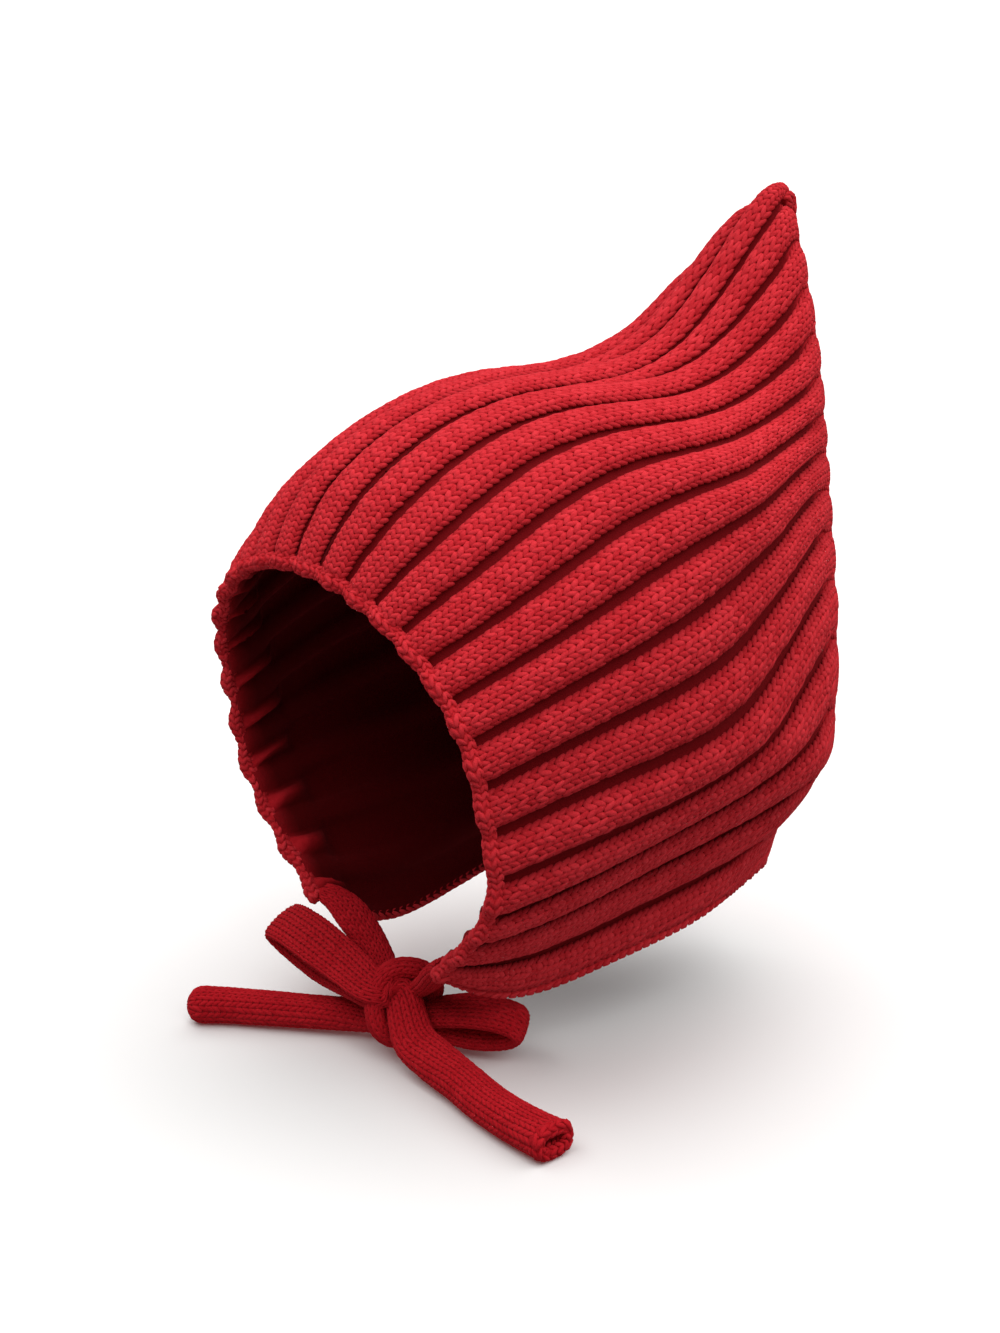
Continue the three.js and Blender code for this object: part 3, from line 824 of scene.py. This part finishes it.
def wool(name, lit, deep, shadow, fibre=0.5):
    """Matt wool: mottled yarn with fine fibres, and painted shade: the shadow colour mixed in where the
    depth attribute is painted
    """
    made = Finish(name)
    place = made.node("ShaderNodeTexCoord", "Object")
    fibres = made.node("ShaderNodeTexNoise", "Fac", Vector=place, Scale=2600.0, Detail=3.0, Roughness=0.65)
    strands = made.node("ShaderNodeTexNoise", "Fac", Vector=place, Scale=700.0, Detail=2.0, Roughness=0.5)
    patches = made.node("ShaderNodeTexNoise", "Fac", Vector=place, Scale=60.0, Detail=2.0, Roughness=0.5)
    tone = made.node("ShaderNodeAttribute", "Fac", {"attribute_name": "tone"})
    depth = made.node("ShaderNodeAttribute", "Fac", {"attribute_name": "depth"})
    yarn_shows = fibres * FIBRES_SHOW + strands * STRANDS_SHOW
    mottle = yarn_shows + patches * PATCHES_SHOW + tone * TONE_SHOWS - MOTTLE_LOWERED
    yarn = made.mix(mottle, deep, lit)
    # Painted shade: the depth attribute mixes the shadow colour into the yarn
    base = made.mix(depth, yarn, shadow)
    bump = made.node("ShaderNodeBump", "Normal", Strength=fibre, Distance=0.0003,
                     Height=fibres + strands * STRANDS_RAISED)
    shader = made.node("ShaderNodeBsdfPrincipled", "BSDF", Base_Color=base, Roughness=0.92, Normal=bump,
                       Sheen_Weight=0.2, Sheen_Roughness=0.5, Sheen_Tint=colour(255, 78, 86),
                       Specular_IOR_Level=0.08)
    return made.surface(shader)


# The third colour of each wool is its painted shade colour
red_wool = wool("red_wool", colour(231, 59, 68), colour(169, 11, 22), colour(108, 2, 9))
cloth_wool = wool("red_wool_inside", colour(220, 44, 54), colour(186, 22, 32), colour(84, 1, 4), fibre=0.8)
# Painted shade: the ties' wool is a darker copy of the red wool, for the ties lying low under the hood
shaded_tie_wool = wool("red_wool_ties_shaded", colour(200, 32, 42), colour(161, 10, 22), colour(60, 0, 4))

# Cords: the two ties, each a knitted tube from its cheek corner through the knot, a loop and the knot again
PATH_EVERY = 6
left_tie = Tube([*STRAP, *loop_rows(LOOP_RIGHT), *TAIL_LEFT])
right_tie = Tube([*map(mirrored_row, STRAP), *loop_rows(LOOP_LEFT), *TAIL_RIGHT])
ties = [
    ("tie_left", left_tie, True, ("tie_strap_left", "bow_loop_right", "tie_tail_left")),
    ("tie_right", right_tie, False, ("tie_strap_right", "bow_loop_left", "tie_tail_right")),
]
for name, tube, open_end, nodes in ties:
    rings = even_rings(tube, tip=TIE_TIP, open_end=open_end)
    body = finish_piece(tube_body(tube, rings), name, shaded_tie_wool)
    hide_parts(*nodes)
    cover = tube_cover(tube, TIE_COLUMNS, TIE_STITCH, TIE_COVER_FROM, tube.length - TIE_COVER_SHORT,
                       sink=TIE_STITCH_SINK, tip=0 if open_end else TIE_TIP)
    finish_piece(cover, name + "_stitches", shaded_tie_wool)
    path = [tuple(p) for p in tube.place[::PATH_EVERY]] + [tuple(tube.place[-1])]

# Cast-off stitches round the open end of the left tail
CAST_OFF_AT = 0.0012
CAST_OFF_INSET = 0.0016
CAST_OFF_SIZE = 0.0036
CAST_OFF_POINTS = 33
CAST_OFF_COLUMNS = 4
around_end = np.linspace(0, 1, CAST_OFF_POINTS)
end_at = np.full(CAST_OFF_POINTS, left_tie.length - CAST_OFF_AT)
end_places = left_tie.lay(end_at, around_end, np.full(CAST_OFF_POINTS, -CAST_OFF_INSET))
end_middle = end_places[:-1].mean(0)
end_rows = [TieRow(*p, CAST_OFF_SIZE, CAST_OFF_SIZE, tuple(p - end_middle)) for p in end_places]
end_tube = Tube(end_rows, closed=True)
end_roll = tube_body(end_tube, ring_lengths(end_tube, CAST_OFF_POINTS), around=10)
finish_piece(end_roll, "tail_end_roll", shaded_tie_wool)
end_cover = tube_cover(end_tube, CAST_OFF_COLUMNS, CHAIN_STITCH, sink=CHAIN_SINK, rough=CHAIN_ROUGH)
finish_piece(end_cover, "tail_end_chain", shaded_tie_wool)

# Knot: the tie's wrap around the crossing, seen end on by the camera
image_right = Vector((math.cos(CAMERA_AZIMUTH), math.sin(CAMERA_AZIMUTH), 0))
knot_low, knot_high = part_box("bow_knot")
knot_middle = (knot_low + knot_high) / 2
image_up = towards_camera.cross(image_right)
WRAP_WIDE = 0.0085
WRAP_THICK = 0.0055
WRAP_RINGS = 24
WRAP_COLUMNS = 10
WRAP_CENTRE = 0.0015
CORE_SHARE = 0.44
CORE_PLACE = (0.002, 0.0015, -0.003)
# The wrap's route, as distances from the knot's middle: to the image's right, up, and towards the camera
WRAP = [
    (0.0078, 0.0092, 0.0), (0.0010, 0.0097, 0.0022), (-0.0034, 0.0056, 0.0035),
    (-0.0042, 0.0, 0.0040), (-0.0030, -0.0058, 0.0030), (0.0008, -0.0088, 0.0),
    (0.0060, -0.0075, -0.0040), (0.0085, 0.0, -0.0060), (0.0112, 0.0050, -0.0030),
]


def in_image(start, right, up, near):
    """A place at these distances from start, as the camera sees them"""
    return start + image_right * right + image_up * up + towards_camera * near


wrap_rows = []
for right, up, near in [*WRAP, WRAP[0]]:
    place = in_image(knot_middle, right, up, near)
    facing = (image_right * (right - WRAP_CENTRE) + image_up * up).normalized()
    wrap_rows.append(TieRow(*place, WRAP_WIDE, WRAP_THICK, tuple(facing)))
wrap_tube = Tube(wrap_rows, closed=True)
wrap = tube_body(wrap_tube, ring_lengths(wrap_tube, WRAP_RINGS))
finish_piece(wrap, "knot_wrap", shaded_tie_wool)
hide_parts("bow_knot")
wrap_cover = tube_cover(wrap_tube, WRAP_COLUMNS, TIE_STITCH, sink=TIE_STITCH_SINK)
finish_piece(wrap_cover, "knot_wrap_stitches", shaded_tie_wool)

# A core in the knot's middle, painted all in the shadow colour: painted shade for the knot's dark hollow
rest()
bpy.ops.mesh.primitive_uv_sphere_add(segments=24, ring_count=16, radius=1,
                                     scale=(knot_high - knot_low) * CORE_SHARE,
                                     location=in_image(knot_middle, *CORE_PLACE))
core = bpy.context.object
bpy.ops.object.transform_apply(location=True, rotation=True, scale=True)
paint(core, "depth", np.ones(len(core.data.vertices)))
finish_piece(core, "knot_shade_core", shaded_tie_wool)

# Hood cloth and its stitches
hood_cloth = finish_piece(make_hood_cloth(), "hood_cloth", cloth_wool)
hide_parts("hood")
side_ribs = list(range(2, LAST_RIB + 1))
HIGH_RIBS = 7
rib_groups = {
    "ribs_left_high": side_ribs[:HIGH_RIBS],
    "ribs_left_low": side_ribs[HIGH_RIBS:],
    "ribs_right_high": [-r for r in side_ribs[:HIGH_RIBS]],
    "ribs_right_low": [-r for r in side_ribs[HIGH_RIBS:]],
    "ribs_crown": [-1, 0, 1],
}
hood_pieces = []
for name, ribs in rib_groups.items():
    swatch = knit(COLUMNS_A_RIB * len(ribs), ROWS, RIB_STITCH)
    hood_pieces.append(finish_piece(lay_rib_stitches(swatch, ribs), name, red_wool))

# Edges: the cast-on edge of the face, the seam down the back and the hem round the neck


def tube_on_skin(u, across, depth, size):
    """A round tube that follows the hood's surface, from a table of its places there"""
    place, outward = skin.at(u, across)
    place = place - outward * depth[:, None]
    return Tube([TieRow(*p, s, s, tuple(n)) for p, s, n in zip(place, size, outward)])


EDGE_STEPS_A_RIB = 8
EDGE_SIZE = 0.0037
EDGE_SWELL = 0.0004
EDGE_DEPTH = WALL / 2 + 0.0003
EDGE_WAVE_ALONG = 0.0014
EDGE_WAVE_DEPTH = 0.0006
EDGE_RING_STEP = 0.0015
EDGE_COLUMNS = 5
EDGE_COVER_SHORT = 0.0005
SHORT_OF_HEM = 0.02
ROLL_TIP = 0.0015
HEM_STEPS = 40
HEM_FROM = 0.03
HEM_TO = 0.985
HEM_SIZE = 0.0030
HEM_COLUMNS = 3
SEAM_FROM = 0.2
SEAM_SHORT_OF_HEM = 0.1
SEAM_SIZE = 0.0052
SEAM_DEPTH = 0.0018
SEAM_COLUMNS = 5
# The seam begins on the middle rib and rolls over the tip of the peak
OVER_TIP = np.array([0.95, 0.965, 0.98, 0.99])
OVER_TIP_DEPTH = np.array([0.0050, 0.0044, 0.0040, 0.0038])
face_end = float(rib_count(0.0)) - SHORT_OF_HEM
edge_across = np.linspace(-face_end, face_end, int(2 * face_end * EDGE_STEPS_A_RIB))
swell = np.cos(2 * math.pi * edge_across)
edge_tube = tube_on_skin(FACE_EDGE - EDGE_WAVE_ALONG * swell, edge_across,
                         EDGE_DEPTH - EDGE_WAVE_DEPTH * swell, EDGE_SIZE + EDGE_SWELL * swell)
edge_rings = even_rings(edge_tube, step=EDGE_RING_STEP, tip=ROLL_TIP)
edge_body = finish_piece(tube_body(edge_tube, edge_rings, around=12), "face_edge_roll", red_wool)
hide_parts("face_edging")
edge_cover = tube_cover(edge_tube, EDGE_COLUMNS, CHAIN_STITCH, EDGE_COVER_SHORT,
                        edge_tube.length - EDGE_COVER_SHORT, sink=CHAIN_SINK, rough=CHAIN_ROUGH)
finish_piece(edge_cover, "face_edge_chain", red_wool)


def sewn_edge(tube, columns, name):
    """A roll with its chain of stitches, as part of the hood"""
    roll = tube_body(tube, even_rings(tube, tip=ROLL_TIP), around=10)
    body = finish_piece(roll, name + "_roll", red_wool)
    stitches = tube_cover(tube, columns, SEAM_STITCH, sink=SEAM_STITCH_SINK)
    return [body, finish_piece(stitches, name + "_chain", red_wool)]


hem_along = np.linspace(HEM_FROM, HEM_TO, HEM_STEPS)
hem_u = np.concatenate([hem_along, hem_along[::-1]])
hem_side = np.repeat([1.0, -1.0], HEM_STEPS)
hem_size = np.full(2 * HEM_STEPS, HEM_SIZE)
hem_tube = tube_on_skin(hem_u, hem_side * (rib_count(hem_u) - SHORT_OF_HEM), hem_size, hem_size)
hood_pieces += sewn_edge(hem_tube, HEM_COLUMNS, "neck_hem")

seam_u = np.concatenate([OVER_TIP, np.ones(HEM_STEPS)])
seam_down = np.linspace(SEAM_FROM, float(rib_count(1.0)) - SEAM_SHORT_OF_HEM, HEM_STEPS)
seam_across = np.concatenate([np.zeros(len(OVER_TIP)), seam_down])
seam_depth = np.concatenate([OVER_TIP_DEPTH, np.full(HEM_STEPS, SEAM_DEPTH)])
seam_tube = tube_on_skin(seam_u, seam_across, seam_depth, np.full(len(seam_u), SEAM_SIZE))
hood_pieces += sewn_edge(seam_tube, SEAM_COLUMNS, "back_seam")

# Floor and light
FLOOR_SIZE = 200
FLOOR_GAP = 0.0003
WORLD_STRENGTH = 0.31
KEY_AZIMUTH = math.radians(140)
KEY_ELEVATION = math.radians(82)
KEY_SPREAD = math.radians(108)
KEY_STRENGTH = 3.62
floor_finish = Finish("pale_floor")
floor_shader = floor_finish.node("ShaderNodeBsdfPrincipled", "BSDF", Base_Color=colour(244, 243, 242),
                                 Roughness=0.7)
rest()
bpy.ops.mesh.primitive_plane_add(size=FLOOR_SIZE, location=(0, 0, cad_box[0].z - FLOOR_GAP))
floor = bpy.context.object
floor.name = "floor"
floor.data.materials.append(floor_finish.surface(floor_shader))
# The floor throws no light back, so that the object's underside stays as dark as in the photo
floor.visible_diffuse = False

world = bpy.data.worlds.new("studio")
bpy.context.scene.world = world
world.use_nodes = True
sky = world.node_tree.nodes["Background"].inputs
sky["Color"].default_value = colour(250, 249, 248)
sky["Strength"].default_value = WORLD_STRENGTH

key_data = bpy.data.lights.new("key", "SUN")
key_data.angle = KEY_SPREAD
key_data.energy = KEY_STRENGTH
towards_key = from_angles(KEY_AZIMUTH, KEY_ELEVATION)
key = bpy.data.objects.new("key", key_data)
bpy.context.scene.collection.objects.link(key)
key.location = towards_key
key.rotation_mode = "QUATERNION"
key.rotation_quaternion = (-towards_key).to_track_quat("-Z", "Y")

rest()
bpy.context.view_layer.update()
